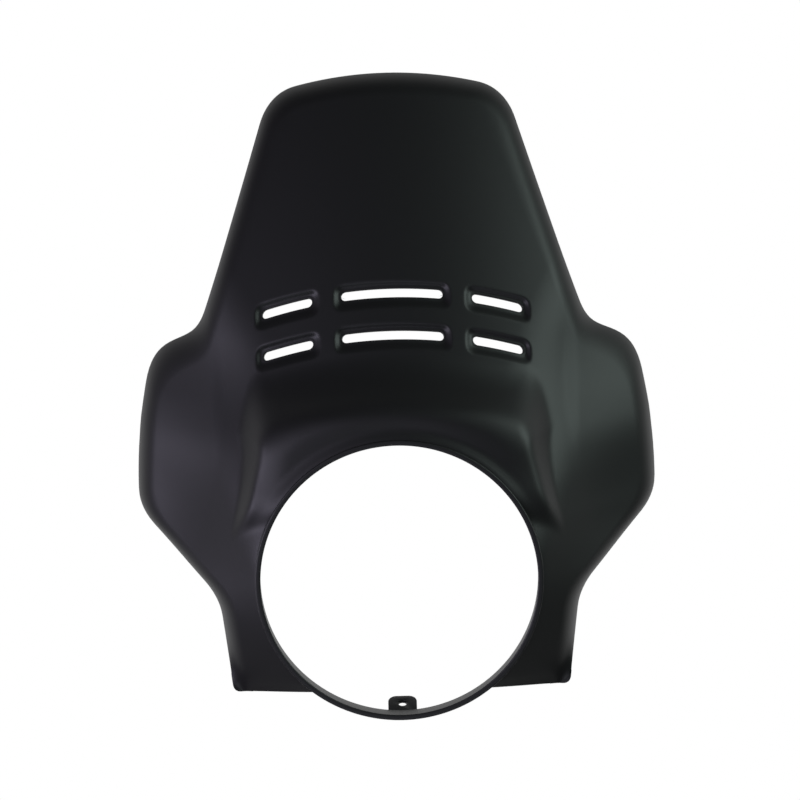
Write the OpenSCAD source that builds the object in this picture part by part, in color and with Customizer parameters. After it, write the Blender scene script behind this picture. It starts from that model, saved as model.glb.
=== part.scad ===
// Motorcycle windscreen cowl: one moulded shell with a round lamp opening.
// x to the right, y to the rear, z up. The origin is the middle of the lamp opening.

/* [Lamp opening] */
// Radius of the round opening that fits over the lamp ring
opening_r = 100; // [90:0.5:110]
// Radial thickness of the collar round the opening
collar_wall = 4; // [3:0.5:6]
// Depth of the collar from front to back
collar_depth = 15; // [10:1:25]
// Rounding of the collar's front edges
collar_round = 1; // [0.5:0.1:1.8]

/* [Shell] */
// Thickness of the moulded shell
wall = 3; // [2.5:0.1:4]
// Lean of the screen, as depth gained for each unit of height
lean = 0.5; // [0.35:0.01:0.65]
// Sideways radius of the screen
screen_r = 275; // [220:5:400]
// Height of the screen's top edge above the opening's centre
screen_top = 337.6; // [300:0.2:380]
// Half width over the two side wings
wing_half = 186.9; // [170:0.1:200]
// Height of the hood's ridge above the opening's centre
ridge_z = 121; // [116:0.5:128]
// Width of the rolled edge round the outline
roll_width = 12; // [8:0.5:15]
// Depth that the rolled edge turns back
roll_depth = 19; // [8:0.5:24]

/* [Vents] */
// Width of each slot
slot_width = 6.5; // [5:0.1:8]
// Height of the lower row of slots
lower_row = 168.8; // [164:0.2:172]
// Distance between the two rows of slots
row_step = 27.7; // [24:0.1:30]
// Half length of a middle slot
middle_half = 36.7; // [30:0.1:38]
// Inner end of a side slot
side_inner = 57.8; // [54:0.1:62]
// Outer end of a side slot
side_outer = 94; // [88:0.1:96]
// Depth of the pressed pocket round each slot
pocket_depth = 3.6; // [1:0.1:5]

/* [Screw tab] */
// Width of the tab below the opening
tab_width = 20.7; // [16:0.1:26]
// Length of the tab from the collar's back edge
tab_length = 17.2; // [14:0.1:22]
// Thickness of the tab
tab_thick = 3; // [2:0.1:4]
// Slope of the tab above the horizontal
tab_slope = 25; // [0:1:40]
// Radius of the screw hole in the tab
tab_hole_r = 3.1; // [2:0.05:4]

/* [Hidden] */
$fn = 64;
front = -collar_depth / 2;
collar_mid = opening_r + collar_wall / 2;
row_bow = 548;
upper_row = lower_row + row_step;
row_margin = 14;

// Smooth joins of two depths: fillet takes the nearer one, ridge the farther one
function fillet(a, b, k) = let (h = max(k - abs(a - b), 0) / k) min(a, b) - h * h * k / 4;
function ridge(a, b, k) = -fillet(-a, -b, k);
function ease(t) = let (c = min(max(t, 0), 1)) c * c * (3 - 2 * c);

// Depths behind the opening's front plane, X being the distance from the middle plane
function screen(X, z) = 38 + lean * (z - 142) + 0.0004 * pow(max(z - 142, 0), 2)
    + X * X / (2 * screen_r);
function shoulder(z) = fillet(ridge(ridge(0.45 * z - 9, 8, 14), 0.62 * z - 25.5, 6), 36.5 + 0.16 * z, 12);
function flare(z) = 1.05 + 0.25 * ease((97 - z) / 57) * ease((z + 30) / 60);
function side(X, z) = shoulder(z) + flare(z) * (norm([X, min(z, 0)]) - 105);
function cheek(X, z) = 65 + 0.8 * (X - 130) + 0.06 * pow(max(134 - X, 0), 2)
    + ridge(0.45 * (z - 97), 0.1 * (z - 97), 8);
function brow(X, z, r) = 6 * ease((r - 104) / 18) * ease((z - 70) / 40) * (1 - ease((X - 20) / 75));
function face(X, z) = let (r = norm([X, z]))
    1.2 + 4 * ease((r - 103) / 9) + 0.1 * max(r - 112, 0) - brow(X, z, r);
function plateau(X, z) = -2 + 1.75 * (z - ridge_z + X * X / 466);
function hood_side(X, z) = let (u = X - 102.5 + 0.29 * (z - 55.5)) 5 + 0.7 * u + 0.075 * pow(max(u, 0), 2);
function hood(X, z) = ridge(ridge(ridge(plateau(X, z), hood_side(X, z), 22), 5 + 1.6 * (42 - z), 20),
    face(X, z), 9);
function body(X, z) = fillet(hood(X, z), ridge(fillet(ridge(screen(X, z), side(X, z), 18),
    cheek(X, z), 9), face(X, z), 8), 10);

// Pockets: the depth pressed in round the two rows of slots
function row_z(X, z0) = z0 - X * X / row_bow;
function slot_gap(X, z, z0, a, b) = let (e = slot_width / 2,
    u = max(abs(X - (a + b) / 2) - (b - a) / 2 + e, 0), v = abs(z - row_z(X, z0)))
    pow(pow(u, 3) + pow(v, 3), 1 / 3);
function pocket(X, z) = let (d = min([for (z0 = [lower_row, upper_row])
    for (s = [[-middle_half, middle_half], [side_inner, side_outer]]) slot_gap(X, z, z0, s[0], s[1])]))
    pocket_depth * (1 - ease((d - slot_width / 2 - 0.8) / 5.4));

// Outline in front view: negative inside, about the distance to the edge in mm
function screen_edge(X, z) = max(ridge((X - 134.5 + 0.343 * (z - 181)) * 0.947,
    z - screen_top + X * X / 498, 17), 110 - z);
function wing_side(z) = wing_half - pow(max(z - 48, 0), 2) / 740;
function wing_edge(X, z) = ridge(ridge(X - wing_side(z), (z - 153.8 - 0.35 * (X - 154)) * 0.79, 32.5),
    (4.1 + 0.9 * (X - 158.3) - z) * 0.754, 11.3);
function flap_edge(X, z) = max(ridge(X - 128 - 0.121 * (z + 40), (-z - 81.4 - 0.117 * X) * 0.98, 7), z - 30);
function edge(X, z) = fillet(fillet(screen_edge(X, z), wing_edge(X, z), 24), flap_edge(X, z), 9.7);
function roll(X, z) = let (t = min(max(edge(X, z) / roll_width + 1, 0), 1) * 0.96)
    roll_depth * ease((z + 96) / 30 + 0.35) * (1 - sqrt(1 - t * t));
function skin_y(x, z) = let (X = abs(x)) front + body(X, z) + pocket(X, z) + roll(X, z);

// Grid: each column runs from the collar out to the outline
function reach(a, lo, hi, n) = n == 0 ? lo : let (m = (lo + hi) / 2)
    edge(m * cos(a), m * sin(a)) < 0 ? reach(a, m, hi, n - 1) : reach(a, lo, m, n - 1);
flap_cols = [[-53.1, -40], [-50.5, -38.4], [-46, -35.6], [-37, -30], [-26, -21.5], [-15, -13.5]];
wing_cols = [for (a = [-8, -3.5, 1, 5, 8.5, 12, 18, 26, 33, 37.5, 41, 45, 49]) [a, a]];
turn_cols = [for (t = [0.2 : 0.2 : 0.8]) [49 + 6 * t, 49 + 10.5 * t, t]];
vent_x = [104.5, 100, 96.5, 92, 82, 70, 60, 56.5, 53, 49, 42.5, 39.5, 36, 18, 0];
vent_cols = [for (x = vent_x) [90 - 35 * x / 104.5, 90 - 30.5 * pow(x / 104.5, 0.9), x]];
steps_a = [0, 0.08, 0.18, 0.3, 0.42, 0.6, 0.8];
steps_b = [0, 4.5, 7, 9.8, 18.2, 21, 23.5, 32.2, 34.7, 37.5, 45.9, 48.7, 51.2];
steps_c = [0, 0.33, 0.67];
steps_d = [0, 0.4, 0.7, 0.9, 1];
function along(p, q, t) = p + (q - p) * t;
function low_at(x) = [x, row_z(x, lower_row - row_margin)];
function high_at(x) = [x, row_z(x, upper_row + row_margin)];
function ends(c) = let (
    end = reach(c[1], 104, 370, 22) * [cos(c[1]), sin(c[1])],
    start = collar_mid * [cos(c[0]), sin(c[0])])
    [start, along(start, end, 1 - min(roll_width * 1.15 / norm(end - start), 0.35)), end];
function column(e, p1, p2) = concat([for (t = steps_a) along(e[0], p1, t)],
    [for (t = steps_b) along(p1, p2, t / (row_step + 2 * row_margin))],
    [for (t = steps_c) along(p2, e[1], t)], [for (t = steps_d) along(e[1], e[2], t)]);
function part_a(c) = 0.42 + 0.25 * ease((c[0] - 10) / 39);
function part_b(c) = 0.8 + 0.06 * ease((c[0] - 10) / 39);
function plain(c) = let (e = ends(c)) column(e, along(e[0], e[1], part_a(c)), along(e[0], e[1], part_b(c)));
last = wing_cols[len(wing_cols) - 1];
last_a = along(ends(last)[0], ends(last)[1], part_a(last));
last_b = along(ends(last)[0], ends(last)[1], part_b(last));
right = concat([for (c = flap_cols) plain(c)], [for (c = wing_cols) plain(c)],
    [for (c = turn_cols) column(ends(c), along(last_a, low_at(vent_x[0]), c[2]),
        along(last_b, high_at(vent_x[0]), c[2]))],
    [for (c = vent_cols) column(ends(c), low_at(c[2]), high_at(c[2]))]);
cols = concat(right, [for (i = [len(right) - 2 : -1 : 0]) [for (p = right[i]) [-p[0], p[1]]]]);
nu = len(cols);
nv = len(cols[0]);
function outer(p) = [p[0], skin_y(p[0], p[1]), p[1]];
function inner(p) = let (h = 0.6, gx = (skin_y(p[0] + h, p[1]) - skin_y(p[0] - h, p[1])) / (2 * h),
    gz = (skin_y(p[0], p[1] + h) - skin_y(p[0], p[1] - h)) / (2 * h), n = norm([gx, 1, gz]))
    outer(p) + wall / n * [-gx, 1, -gz];
points = concat([for (c = cols) for (p = c) outer(p)], [for (c = cols) for (p = c) inner(p)]);
function id(i, j, s) = s * nu * nv + i * nv + j;
function miss(p, q) = let (m = (p + q) / 2) abs(skin_y(m[0], m[1]) - (skin_y(p[0], p[1]) + skin_y(q[0], q[1])) / 2);
faces = concat(
    [for (i = [0 : nu - 2]) for (j = [0 : nv - 2]) let (a = [i, j], b = [i + 1, j], c = [i + 1, j + 1],
        d = [i, j + 1], cross_ok = miss(cols[i][j], cols[i + 1][j + 1]) < miss(cols[i + 1][j], cols[i][j + 1]))
        for (f = cross_ok ? [[a, c, d], [a, b, c]] : [[a, b, d], [b, c, d]]) each [
            [for (q = f) id(q[0], q[1], 0)], [for (q = [f[0], f[2], f[1]]) id(q[0], q[1], 1)]]],
    [for (i = [0 : nu - 2]) each [
        [id(i, 0, 0), id(i + 1, 0, 1), id(i + 1, 0, 0)], [id(i, 0, 0), id(i, 0, 1), id(i + 1, 0, 1)],
        [id(i, nv - 1, 0), id(i + 1, nv - 1, 0), id(i + 1, nv - 1, 1)],
        [id(i, nv - 1, 0), id(i + 1, nv - 1, 1), id(i, nv - 1, 1)]]],
    [for (j = [0 : nv - 2]) each [
        [id(0, j, 0), id(0, j + 1, 1), id(0, j, 1)], [id(0, j, 0), id(0, j + 1, 0), id(0, j + 1, 1)],
        [id(nu - 1, j, 0), id(nu - 1, j, 1), id(nu - 1, j + 1, 1)],
        [id(nu - 1, j, 0), id(nu - 1, j + 1, 1), id(nu - 1, j + 1, 0)]]]);

// Collar: turned section with rounded front edges, and a plain bore behind them
module collar() {
    k = collar_round;
    section = concat(
        [[opening_r, collar_depth / 2], [opening_r + collar_wall, collar_depth / 2]],
        [for (a = [0 : 45 : 90]) [opening_r + collar_wall - k + k * cos(a), front + k - k * sin(a)]],
        [for (a = [90 : 45 : 180]) [opening_r + k + k * cos(a), front + k - k * sin(a)]]);
    rotate([-90, 0, 0]) rotate_extrude($fn = 90) polygon(section);
}

// Screw tab: a flat lug that rises behind the bottom of the collar
module tab() {
    round_r = 6;
    hw = tab_width / 2;
    rim = concat([[-hw, -3], [hw, -3]],
        [for (a = [0 : 22.5 : 90]) [hw - round_r + round_r * cos(a), tab_length - round_r + round_r * sin(a)]],
        [for (a = [90 : 22.5 : 180]) [round_r - hw + round_r * cos(a), tab_length - round_r + round_r * sin(a)]]);
    translate([0, collar_depth / 2, -opening_r - tab_thick]) rotate([tab_slope, 0, 0])
        difference() {
            linear_extrude(tab_thick) polygon(rim);
            translate([0, 9, -1]) cylinder(r = tab_hole_r, h = tab_thick + 2, $fn = 32);
        }
}

// Slot cutter: a round-ended bar square to the shell at the slot's middle
function spot(x, z0) = let (z = row_z(abs(x), z0)) [x, front + screen(abs(x), z) + pocket_depth, z];
module slot(a, b, z0) {
    e = slot_width / 2;
    m = (a + b) / 2;
    pa = spot(a + e, z0);
    pb = spot(b - e, z0);
    ex = (pb - pa) / norm(pb - pa);
    gz = lean + 0.0008 * (z0 - 142);
    n0 = [m / screen_r, -1, gz];
    n1 = n0 - (n0 * ex) * ex;
    n = n1 / norm(n1);
    ez = cross(ex, -n);
    o = (pa + pb) / 2 + ((a < 0 && b > 0) ? ez * 0.5 : ez * 0);
    half = norm(pb - pa) / 2;
    multmatrix([[ex[0], ez[0], n[0], o[0]], [ex[1], ez[1], n[1], o[1]], [ex[2], ez[2], n[2], o[2]]])
        translate([0, 0, -8]) union() {
            translate([-half, -e, 0]) cube([2 * half, slot_width, 16]);
            for (s = [-half, half]) translate([s, 0, 0]) cylinder(r = e, h = 16, $fn = 24);
        }
}

module cowl_shell() {
    color([0.03, 0.03, 0.035]) difference() {
        union() {
            polyhedron(points, faces);
            collar();
            tab();
        }
        for (z0 = [lower_row, upper_row]) {
            slot(-middle_half, middle_half, z0);
            slot(side_inner, side_outer, z0);
            slot(-side_outer, -side_inner, z0);
        }
    }
}

cowl_shell();
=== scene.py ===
import math

import bpy
import numpy as np
from mathutils import Matrix, Vector


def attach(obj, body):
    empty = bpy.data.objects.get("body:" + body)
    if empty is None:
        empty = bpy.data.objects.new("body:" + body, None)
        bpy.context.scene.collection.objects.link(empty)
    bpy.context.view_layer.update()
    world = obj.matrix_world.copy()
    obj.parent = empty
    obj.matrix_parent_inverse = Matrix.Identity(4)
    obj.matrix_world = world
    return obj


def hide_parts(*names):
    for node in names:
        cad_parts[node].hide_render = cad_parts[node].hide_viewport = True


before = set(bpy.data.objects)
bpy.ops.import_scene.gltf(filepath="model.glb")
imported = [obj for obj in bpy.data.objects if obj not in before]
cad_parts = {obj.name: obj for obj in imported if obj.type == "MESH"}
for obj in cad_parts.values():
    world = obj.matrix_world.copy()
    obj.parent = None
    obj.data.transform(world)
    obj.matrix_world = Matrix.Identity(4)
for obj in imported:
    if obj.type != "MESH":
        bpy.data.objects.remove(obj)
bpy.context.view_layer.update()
bpy.ops.object.select_all(action="DESELECT")

# Shell. The screen, wings, flaps and hood in one skin of matte black plastic, 3 mm thick.
# A grid is drawn over the form, its slots are opened, then it is thickened and its edges eased.
# All its sizes are in mm, seen from the front: x to the right, z up, and depth to the rear.
MM = 0.001
OPENING_R, COLLAR_WALL, COLLAR_DEPTH = 100.0, 4.0, 15.0
FRONT = -COLLAR_DEPTH / 2
WALL = 3.0
SCREEN_TOP, WING_HALF, RIDGE_Z = 337.6, 186.9, 121.0
ROLL_W, ROLL_D = 12.0, 19.0
LOW_ROW, ROW_STEP, ROW_BOW, MARGIN = 168.8, 27.7, 548.0, 14.0
ROWS = (LOW_ROW, LOW_ROW + ROW_STEP)
SLOT_HALF, SLOT_END, SLOTS = 2.9, 3.25, ((-36.7, 36.7), (57.8, 94.0))
POCKET = 3.6
# How far round a slot's end its grid is drawn in, in half slot widths
GRID_T = 2.2


# Two surfaces joined, the smaller one kept, with a rounded crease k wide
def fillet(a, b, k):
    h = np.maximum(k - np.abs(a - b), 0) / k
    return np.minimum(a, b) - h * h * k / 4


# The same with the larger one kept
def ridge(a, b, k):
    return -fillet(-a, -b, k)


# A soft step from 0 to 1
def ease(t):
    t = np.clip(t, 0, 1)
    return t * t * (3 - 2 * t)


# Height of a vent row, which bows down away from the middle
def row_z(X, z0):
    return z0 - X * X / ROW_BOW


# How far a point is past the outline: screen, wing and flap, less than 0 inside
def edge(X, z):
    screen = np.maximum(
        ridge((X - 134.5 + 0.343 * (z - 181)) * 0.947, z - SCREEN_TOP + X * X / 498, 17), 110 - z
    )
    side = X - WING_HALF + np.maximum(z - 48, 0) ** 2 / 740
    wing = ridge(side, (z - 153.8 - 0.35 * (X - 154)) * 0.79, 32.5)
    wing = ridge(wing, (4.1 + 0.9 * (X - 158.3) - z) * 0.754, 11.3)
    flap = np.maximum(ridge(X - 128 - 0.121 * (z + 40), (-z - 79.2 - 0.117 * X) * 0.98, 7), z - 30)
    return fillet(fillet(screen, wing, 24), flap, 9.7)


# Depth of the front skin: hood and rim face, screen and shoulder, vent pockets and the rolled edge
def depth(x, z):
    X = np.abs(x)
    r = np.hypot(X, z)
    brow = 1.5 * ease((r - 104) / 18) * ease((z - 70) / 40) * (1 - ease((X - 20) / 75))
    face = 1.2 + 4 * ease((r - 103) / 9) + 0.1 * np.maximum(r - 112, 0) - brow
    plateau = -2 + 1.75 * (z - RIDGE_Z + X * X / 466)
    u = X - 102.5 + 0.29 * (z - 55.5)
    hood_side = 5 + 0.7 * u + (0.075 + 0.003 * np.maximum(100 - z, 0)) * np.maximum(u, 0) ** 2
    hood = ridge(ridge(ridge(plateau, hood_side, 30), 5 + 1.6 * (49 - z), 24), face, 12)
    screen = 38 + 0.5 * (z - 142) + 0.0004 * np.maximum(z - 142, 0) ** 2 + X * X / 550
    shoulder = fillet(ridge(ridge(0.45 * z - 9, 8, 14), 0.62 * z - 25.5, 6), 36.5 + 0.16 * z, 12)
    flare = 1.05 + 0.25 * ease((97 - z) / 57) * ease((z + 30) / 60)
    side = shoulder + flare * (np.hypot(X, np.minimum(z, 0)) - 105)
    above = ridge(0.45 * (z - 97), 0.1 * (z - 97), 8)
    cheek = 65 + 0.8 * (X - 130) + 0.06 * np.maximum(134 - X, 0) ** 2 + above
    body = fillet(hood, ridge(fillet(ridge(screen, side, 18), cheek, 12), face, 8), 17)
    pocket = np.zeros_like(X)
    for z0 in ROWS:
        for a, b in SLOTS:
            u = np.maximum(np.abs(X - (a + b) / 2) - (b - a) / 2 + SLOT_END, 0)
            v = np.abs(z - row_z(X, z0))
            d = (u**3 + v**3) ** (1 / 3)
            pocket = np.maximum(pocket, POCKET * (1 - ease((d - 4.05) / 5.4)))
    over_hood = (X < 60) & (np.abs(z - 120) < 60)
    t = np.where(over_hood, 0, np.clip(edge(X, z) / ROLL_W + 1, 0, 1) * 0.96)
    roll = ROLL_D * ease((z + 92) / 50 + 0.08) * (1 - np.sqrt(1 - t * t))
    return FRONT + body + pocket + roll


# Columns over the right half: straight ones over the flap and wing, some that turn, then the vents'
rim_a = [-54.6, -51.2, -46, -37, -26, -15, -8, -3.5, 1, 5, 8.5, 12, 18, 26, 33, 37.5, 41, 45, 49]
out_a = [-39.4, -37.8, -35.1, -29.8, -21.5, -13.5] + rim_a[6:]
cap = SLOT_END * np.array([0, 0.268, 0.577, 1.0])
wall_steps = np.array([1.0, 1.8, 2.6, 3.4, 4.2, 5.0, 5.8, 6.6])
(_, middle), (inner, outer) = SLOTS
LAST_X = 104.5
vent = np.concatenate(
    [
        np.linspace(0, middle - SLOT_END, 13),
        middle - SLOT_END + cap[1:],
        middle + wall_steps,
        [45.2, 47.25, 49.3],
        inner - wall_steps[::-1],
        inner + SLOT_END - cap[::-1],
        np.linspace(inner + SLOT_END, outer - SLOT_END, 12)[1:],
        outer - SLOT_END + cap[1:],
        outer + wall_steps,
        [102.5, LAST_X],
    ]
)[::-1]
vent_rim, vent_out = 90 - 35 * vent / LAST_X, 90 - 30.5 * (vent / LAST_X) ** 0.9
bend = np.linspace(0, 1, 14)[1:-1]


# The last point inside the outline along each angle from the middle of the opening
def reach(angle):
    lo, hi = np.full_like(angle, 104.0), np.full_like(angle, 370.0)
    c, s = np.cos(np.radians(angle)), np.sin(np.radians(angle))
    for _ in range(30):
        m = (lo + hi) / 2
        inside = edge(m * c, m * s) < -0.2
        lo, hi = np.where(inside, m, lo), np.where(inside, hi, m)
    return lo[:, None] * np.stack([c, s], 1)


# The straight columns are drawn four times as close as the table gives them
many = np.linspace(0, len(rim_a) - 1, 4 * len(rim_a) - 3)
rim_f = np.concatenate([np.interp(many, range(len(rim_a)), rim_a), 49 + 6 * bend, vent_rim])
out_f = np.concatenate([np.interp(many, range(len(out_a)), out_a), 49 + 10.5 * bend, vent_out])
n_plain, n_turn = len(many), len(many) + len(bend)
start = (OPENING_R + COLLAR_WALL / 2) * np.stack([np.cos(np.radians(rim_f)), np.sin(np.radians(rim_f))], 1)
end = reach(out_f)
long = np.linalg.norm(end - start, axis=1, keepdims=True)
turn = start + (end - start) * (1 - np.minimum(ROLL_W * 1.15 / long, 0.35))
part = ease((rim_f - 10) / 39)[:, None]
p1, p2 = start + (turn - start) * (0.42 + 0.25 * part), start + (turn - start) * (0.8 + 0.06 * part)
p1[n_turn:] = np.stack([vent, row_z(vent, LOW_ROW - MARGIN)], 1)
p2[n_turn:] = np.stack([vent, row_z(vent, LOW_ROW + ROW_STEP + MARGIN)], 1)
for p in (p1, p2):
    p[n_plain:n_turn] = p[n_plain - 1] + (p[n_turn] - p[n_plain - 1]) * bend[:, None]
across = np.concatenate([[0, 0.78, 1.67, 2.9], SLOT_HALF + wall_steps, [10.4]])
across = np.concatenate([-across[:0:-1], across])
vent_t = np.concatenate([[0, 1.8], MARGIN + across, [27.85], MARGIN + ROW_STEP + across, [53.9]]) / (
    ROW_STEP + 2 * MARGIN
)
steps = [
    (start, p1, np.linspace(0, 1, 29)[:-1]),
    (p1, p2, vent_t),
    (p2, turn, np.linspace(0, 1, 15)[:-1]),
    (turn, end, 1 - (1 - np.linspace(0, 1, 15)) ** 1.5),
]
right = np.concatenate([a[:, None] + (b - a)[:, None] * t[None, :, None] for a, b, t in steps], 1)
left = right[-2::-1] * np.array([-1, 1])
plan = np.concatenate([right, left], 0)
nu, nv = plan.shape[:2]

# Slot ends: the square grid round each end is drawn in to a true half circle
for z0 in ROWS:
    for a, b in SLOTS + tuple((-b, -a) for a, b in SLOTS[1:]):
        x, z = plan[..., 0], plan[..., 1]
        t = (z - row_z(np.abs(x), z0)) / SLOT_HALF
        for end_x, way in ((a, -1), (b, 1)):
            s = way * (x - (end_x - way * SLOT_END)) / SLOT_END
            square = np.maximum(np.abs(s), np.abs(t))
            near = (s > 0) & (square < GRID_T)
            round_ = np.hypot(s, t)
            f = np.where(near & (round_ > 1e-9), square / np.maximum(round_, 1e-9), 1)
            w = np.clip((GRID_T - square) / (GRID_T - 1), 0, 1)
            f = 1 + (f - 1) * w
            x_new = end_x - way * SLOT_END + way * s * f * SLOT_END
            z_new = row_z(np.abs(x_new), z0) + t * f * SLOT_HALF
            plan[..., 0] = np.where(near, x_new, x)
            plan[..., 1] = np.where(near, z_new, z)
            x, z = plan[..., 0], plan[..., 1]

bpy.ops.mesh.primitive_grid_add(x_subdivisions=nu - 1, y_subdivisions=nv - 1, size=1)
shell = bpy.context.object
shell.name = "shell"
co = np.empty(len(shell.data.vertices) * 3)
shell.data.vertices.foreach_get("co", co)
co = co.reshape(-1, 3)
gi = np.rint((co[:, 0] + 0.5) * (nu - 1)).astype(int)
gj = np.rint((co[:, 1] + 0.5) * (nv - 1)).astype(int)
xz = plan[gi, gj]
co = np.stack([xz[:, 0], depth(xz[:, 0], xz[:, 1]), xz[:, 1]], 1) * MM
shell.data.vertices.foreach_set("co", co.ravel())
shell.data.update()

# Open the slots: the faces inside each slot go
mid = np.array([np.mean(xz[list(p.vertices)], axis=0) for p in shell.data.polygons])
gone = np.zeros(len(mid), bool)
for z0 in ROWS:
    t = np.abs(mid[:, 1] - row_z(np.abs(mid[:, 0]), z0)) / SLOT_HALF
    for a, b in SLOTS:
        s = np.maximum(np.abs(np.abs(mid[:, 0]) - (a + b) / 2) - (b - a) / 2 + SLOT_END, 0) / SLOT_END
        gone |= np.hypot(s, t) < 0.985
bpy.ops.object.mode_set(mode="EDIT")
bpy.ops.mesh.select_mode(type="FACE")
bpy.ops.mesh.select_all(action="DESELECT")
bpy.ops.object.mode_set(mode="OBJECT")
shell.data.polygons.foreach_set("select", gone)
bpy.ops.object.mode_set(mode="EDIT")
bpy.ops.mesh.delete(type="FACE")
bpy.ops.mesh.select_all(action="SELECT")
bpy.ops.mesh.flip_normals()
bpy.ops.object.mode_set(mode="OBJECT")
thick = shell.modifiers.new("thickness", "SOLIDIFY")
thick.thickness, thick.offset = WALL * MM, -1
bpy.ops.object.modifier_apply(modifier="thickness")

# What the thickness pushed past the outline at the flaps' corners goes back onto it
co = np.zeros(3 * len(shell.data.vertices))
shell.data.vertices.foreach_get("co", co)
co = co.reshape(-1, 3) * 1000
X, z = np.abs(co[:, 0]), co[:, 2]
past = np.maximum(edge(X, z), 0)
lean = np.stack([edge(X + 0.1, z) - edge(X - 0.1, z), edge(X, z + 0.1) - edge(X, z - 0.1)]) / 0.2
back = past * lean / (lean**2).sum(axis=0)
co[:, 0] -= np.sign(co[:, 0]) * back[0]
co[:, 2] -= back[1]
shell.data.vertices.foreach_set("co", (co * MM).ravel())
shell.data.update()

# The edges are eased all round, but for the few millimetres inside each flap's tight corner
bpy.ops.object.mode_set(mode="EDIT")
bpy.ops.mesh.select_mode(type="EDGE")
bpy.ops.mesh.select_all(action="DESELECT")
bpy.ops.mesh.edges_select_sharp(sharpness=math.radians(55))
bpy.ops.object.mode_set(mode="OBJECT")
edges = shell.data.edges
sharp, pairs = np.zeros(len(edges), bool), np.zeros(2 * len(edges), int)
edges.foreach_get("select", sharp)
edges.foreach_get("vertices", pairs)
co = np.zeros(3 * len(shell.data.vertices))
shell.data.vertices.foreach_get("co", co)
at = co.reshape(-1, 3)[pairs[::2]]
in_corner = (np.abs(at[:, 0]) > 107 * MM) & (at[:, 2] < -80 * MM)
sharp &= ~in_corner
edges.foreach_set("select", sharp)
bpy.ops.object.mode_set(mode="EDIT")
bpy.ops.mesh.bevel(offset=0.7 * MM, segments=3, clamp_overlap=False)
bpy.ops.object.mode_set(mode="OBJECT")
bpy.ops.object.shade_smooth()

# Collar. The round rim of the lamp opening, which runs on as a thin hoop between the flaps.
# Part of the same moulding: a turned section carried round the opening.
LIP_R, BACK_EDGE = 1.0, 0.6
COLLAR_R = OPENING_R + COLLAR_WALL
section = [(OPENING_R, -FRONT - BACK_EDGE), (OPENING_R + BACK_EDGE, -FRONT)]
section += [(COLLAR_R - BACK_EDGE, -FRONT), (COLLAR_R, -FRONT - BACK_EDGE)]
for centre_r, turn_from in ((COLLAR_R - LIP_R, 0), (OPENING_R + LIP_R, math.pi / 2)):
    section += [
        (centre_r + LIP_R * math.cos(a), FRONT + LIP_R - LIP_R * math.sin(a))
        for a in np.linspace(turn_from, turn_from + math.pi / 2, 6)
    ]
mesh = bpy.data.meshes.new("collar")
mesh.from_pydata(
    [(r * MM, y * MM, 0) for r, y in section],
    [(i, (i + 1) % len(section)) for i in range(len(section))],
    [],
)
collar = bpy.data.objects.new("collar", mesh)
bpy.context.collection.objects.link(collar)
bpy.ops.object.select_all(action="DESELECT")
collar.select_set(True)
bpy.context.view_layer.objects.active = collar
bpy.ops.object.mode_set(mode="EDIT")
bpy.ops.mesh.select_all(action="SELECT")
bpy.ops.mesh.spin(steps=240, angle=2 * math.pi, center=(0, 0, 0), axis=(0, 1, 0))
bpy.ops.mesh.select_all(action="SELECT")
bpy.ops.mesh.remove_doubles(threshold=1e-6)
bpy.ops.mesh.normals_make_consistent(inside=False)
bpy.ops.object.mode_set(mode="OBJECT")
bpy.ops.object.shade_smooth_by_angle(angle=math.radians(35))

# Lug. The screw tab behind the bottom of the collar, a flat plate with one round hole, moulded on.
# A plate is outlined and drawn out, and its hole is cut through.
TAB_W, TAB_L, TAB_T, TAB_SLOPE = 20.7, 17.2, 3.0, math.radians(25)
TAB_CORNER, TAB_ROOT, HOLE_R, HOLE_Y = 6.0, 2.5, 3.1, 9.0
rim = [(-TAB_W / 2, -TAB_ROOT), (TAB_W / 2, -TAB_ROOT)]
for side, turn_from in ((1, 0), (-1, math.pi / 2)):
    rim += [
        (
            side * (TAB_W / 2 - TAB_CORNER) + TAB_CORNER * math.cos(a),
            TAB_L - TAB_CORNER + TAB_CORNER * math.sin(a),
        )
        for a in np.linspace(turn_from, turn_from + math.pi / 2, 9)
    ]
mesh = bpy.data.meshes.new("tab")
mesh.from_pydata([(x * MM, y * MM, 0) for x, y in rim], [], [list(range(len(rim)))])
tab = bpy.data.objects.new("tab", mesh)
bpy.context.collection.objects.link(tab)
bpy.ops.object.select_all(action="DESELECT")
tab.select_set(True)
bpy.context.view_layer.objects.active = tab
bpy.ops.object.mode_set(mode="EDIT")
bpy.ops.mesh.select_all(action="SELECT")
bpy.ops.mesh.extrude_region_move(TRANSFORM_OT_translate={"value": (0, 0, TAB_T * MM)})
bpy.ops.mesh.select_all(action="SELECT")
bpy.ops.mesh.normals_make_consistent(inside=False)
bpy.ops.object.mode_set(mode="OBJECT")
bpy.ops.mesh.primitive_cylinder_add(
    vertices=48, radius=HOLE_R * MM, depth=0.02, location=(0, HOLE_Y * MM, TAB_T / 2 * MM)
)
drill = bpy.context.object
cut = tab.modifiers.new("hole", "BOOLEAN")
cut.object, cut.operation = drill, "DIFFERENCE"
soft = tab.modifiers.new("eased edges", "BEVEL")
soft.width, soft.segments, soft.angle_limit = 0.5 * MM, 3, math.radians(50)
bpy.ops.object.select_all(action="DESELECT")
tab.select_set(True)
bpy.context.view_layer.objects.active = tab
bpy.ops.object.modifier_apply(modifier="hole")
bpy.ops.object.modifier_apply(modifier="eased edges")
bpy.data.objects.remove(drill)
tab.rotation_euler = (TAB_SLOPE, 0, 0)
tab.location = (0, COLLAR_DEPTH / 2 * MM, -(OPENING_R + TAB_T) * MM)
bpy.ops.object.transform_apply(location=True, rotation=True, scale=True)
bpy.ops.object.shade_smooth_by_angle(angle=math.radians(35))

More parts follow.
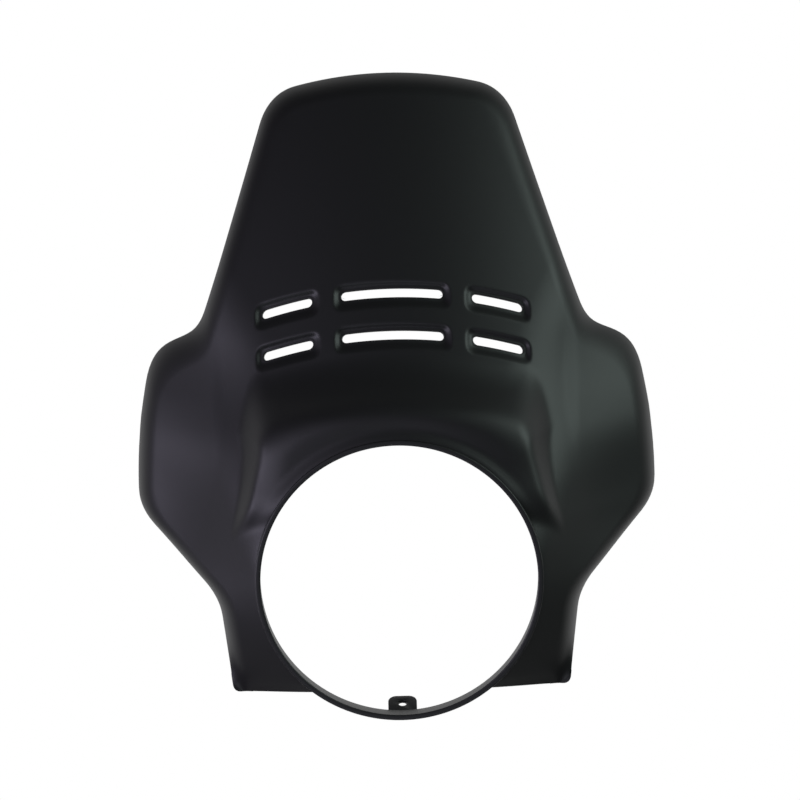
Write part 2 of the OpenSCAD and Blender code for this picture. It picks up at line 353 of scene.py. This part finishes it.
# Plastic. Matte black and moulded, with a fine even grain, for the whole piece.
plastic = bpy.data.materials.new("moulded black")
plastic.use_nodes = True
nt = plastic.node_tree
skin = nt.nodes["Principled BSDF"]
skin.inputs["Base Color"].default_value = (0.012, 0.012, 0.0125, 1)
skin.inputs["Roughness"].default_value = 0.46
skin.inputs["Specular IOR Level"].default_value = 0.5
place = nt.nodes.new("ShaderNodeTexCoord")
grain = nt.nodes.new("ShaderNodeTexNoise")
grain.inputs["Scale"].default_value = 1400
grain.inputs["Detail"].default_value = 3
bump = nt.nodes.new("ShaderNodeBump")
bump.inputs["Strength"].default_value = 0.12
bump.inputs["Distance"].default_value = 0.0002
nt.links.new(place.outputs["Object"], grain.inputs["Vector"])
nt.links.new(grain.outputs["Fac"], bump.inputs["Height"])
nt.links.new(bump.outputs["Normal"], skin.inputs["Normal"])
for o in (shell, collar, tab):
    o.data.materials.clear()
    o.data.materials.append(plastic)

# One moulding: the collar and the tab are joined to the shell
bpy.ops.object.select_all(action="DESELECT")
for o in (shell, collar, tab):
    o.select_set(True)
bpy.context.view_layer.objects.active = shell
bpy.ops.object.join()
shell.name = "cowl"
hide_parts("cowl_shell")
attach(shell, "root")

# Studio. White behind the piece, a dim room in front of it, soft lamps round it, and the long lens.
# No floor: the photograph shows the piece by itself, with nothing under it.
world = bpy.data.worlds.new("studio")
bpy.context.scene.world = world
world.use_nodes = True
wt = world.node_tree
bg = wt.nodes["Background"]
bg.inputs["Color"].default_value = (1, 1, 1, 1)
ray = wt.nodes.new("ShaderNodeLightPath")
shine = wt.nodes.new("ShaderNodeMath")
shine.operation = "MAXIMUM"
wt.links.new(ray.outputs["Is Glossy Ray"], shine.inputs[0])
wt.links.new(ray.outputs["Is Transmission Ray"], shine.inputs[1])
towards = wt.nodes.new("ShaderNodeTexCoord")
axes = wt.nodes.new("ShaderNodeSeparateXYZ")
wt.links.new(towards.outputs["Generated"], axes.inputs["Vector"])
behind = wt.nodes.new("ShaderNodeMapRange")
behind.interpolation_type = "SMOOTHSTEP"
behind.inputs["From Min"].default_value = 0.3
behind.inputs["From Max"].default_value = 0.85
wt.links.new(axes.outputs["Y"], behind.inputs["Value"])
seen = wt.nodes.new("ShaderNodeMath")
seen.operation = "MULTIPLY"
wt.links.new(shine.outputs["Value"], seen.inputs[0])
wt.links.new(behind.outputs["Result"], seen.inputs[1])
white = wt.nodes.new("ShaderNodeMath")
white.operation = "MAXIMUM"
wt.links.new(seen.outputs["Value"], white.inputs[0])
wt.links.new(ray.outputs["Is Camera Ray"], white.inputs[1])
level = wt.nodes.new("ShaderNodeMix")
level.data_type = "FLOAT"
level.inputs["A"].default_value = 0.04
level.inputs["B"].default_value = 1.0
wt.links.new(white.outputs["Value"], level.inputs["Factor"])
wt.links.new(level.outputs["Result"], bg.inputs["Strength"])

# The lamps: name, degrees round to the right, degrees up, watts and colour
LAMP_AWAY, LAMP_SIZE = 1.5, 0.7
COOL, GREEN = (0.84, 0.79, 1.0), (0.83, 1.0, 0.94)
lit = Vector((0, 0.05, 0.1))
for name, az, lift, power, colour in (
    ("left front", -40, -5, 6.0, COOL),
    ("left side", -72, -5, 6.6, COOL),
    ("left top", -35, 30, 0.6, COOL),
    ("right front", 45, 20, 1.0, GREEN),
    ("right side", 78, 20, 6.0, GREEN),
    ("right top", 69, 42, 2.4, GREEN),
    ("low front", 0, -42, 2.0, (0.86, 0.92, 1.0)),
):
    lamp = bpy.data.lights.new(name, "AREA")
    lamp.shape, lamp.size, lamp.energy, lamp.color = "SQUARE", LAMP_SIZE, power, colour
    stand = bpy.data.objects.new(name, lamp)
    bpy.context.collection.objects.link(stand)
    az, lift = math.radians(az), math.radians(lift)
    away = Vector((math.sin(az) * math.cos(lift), -math.cos(az) * math.cos(lift), math.sin(lift)))
    stand.location = lit + LAMP_AWAY * away
    stand.rotation_euler = away.to_track_quat("Z", "Y").to_euler()

# The camera looks at the front from 14 degrees above, turned a little in the picture plane.
# The middle of the rim's front lies at RIM_PX in the 800 pixel picture.
LENS, SENSOR, AWAY, PICTURE = 1500, 36, 24.0, 800
RIM_PX = (399.35, 580.7)
cam = bpy.data.cameras.new("camera")
cam.lens, cam.sensor_width = LENS, SENSOR
eye = bpy.data.objects.new("camera", cam)
bpy.context.collection.objects.link(eye)
bpy.context.scene.camera = eye
above, roll_angle = math.radians(14), math.radians(1.5)
view_dir = Vector((0, math.cos(above), -math.sin(above)))
up, across_x = Vector((0, math.sin(above), math.cos(above))), Vector((1, 0, 0))
cam_up = up * math.cos(roll_angle) + across_x * math.sin(roll_angle)
cam_right = across_x * math.cos(roll_angle) - up * math.sin(roll_angle)
px = SENSOR / LENS * AWAY / PICTURE
aim = Vector((0, FRONT * MM, 0))
aim += (cam_up * (RIM_PX[1] - PICTURE / 2) - cam_right * (RIM_PX[0] - PICTURE / 2)) * px
eye.location = aim - view_dir * AWAY
eye.rotation_mode = "QUATERNION"
eye.rotation_quaternion = Matrix((cam_right, cam_up, -view_dir)).transposed().to_quaternion()
bpy.context.scene.view_settings.view_transform = "Standard"
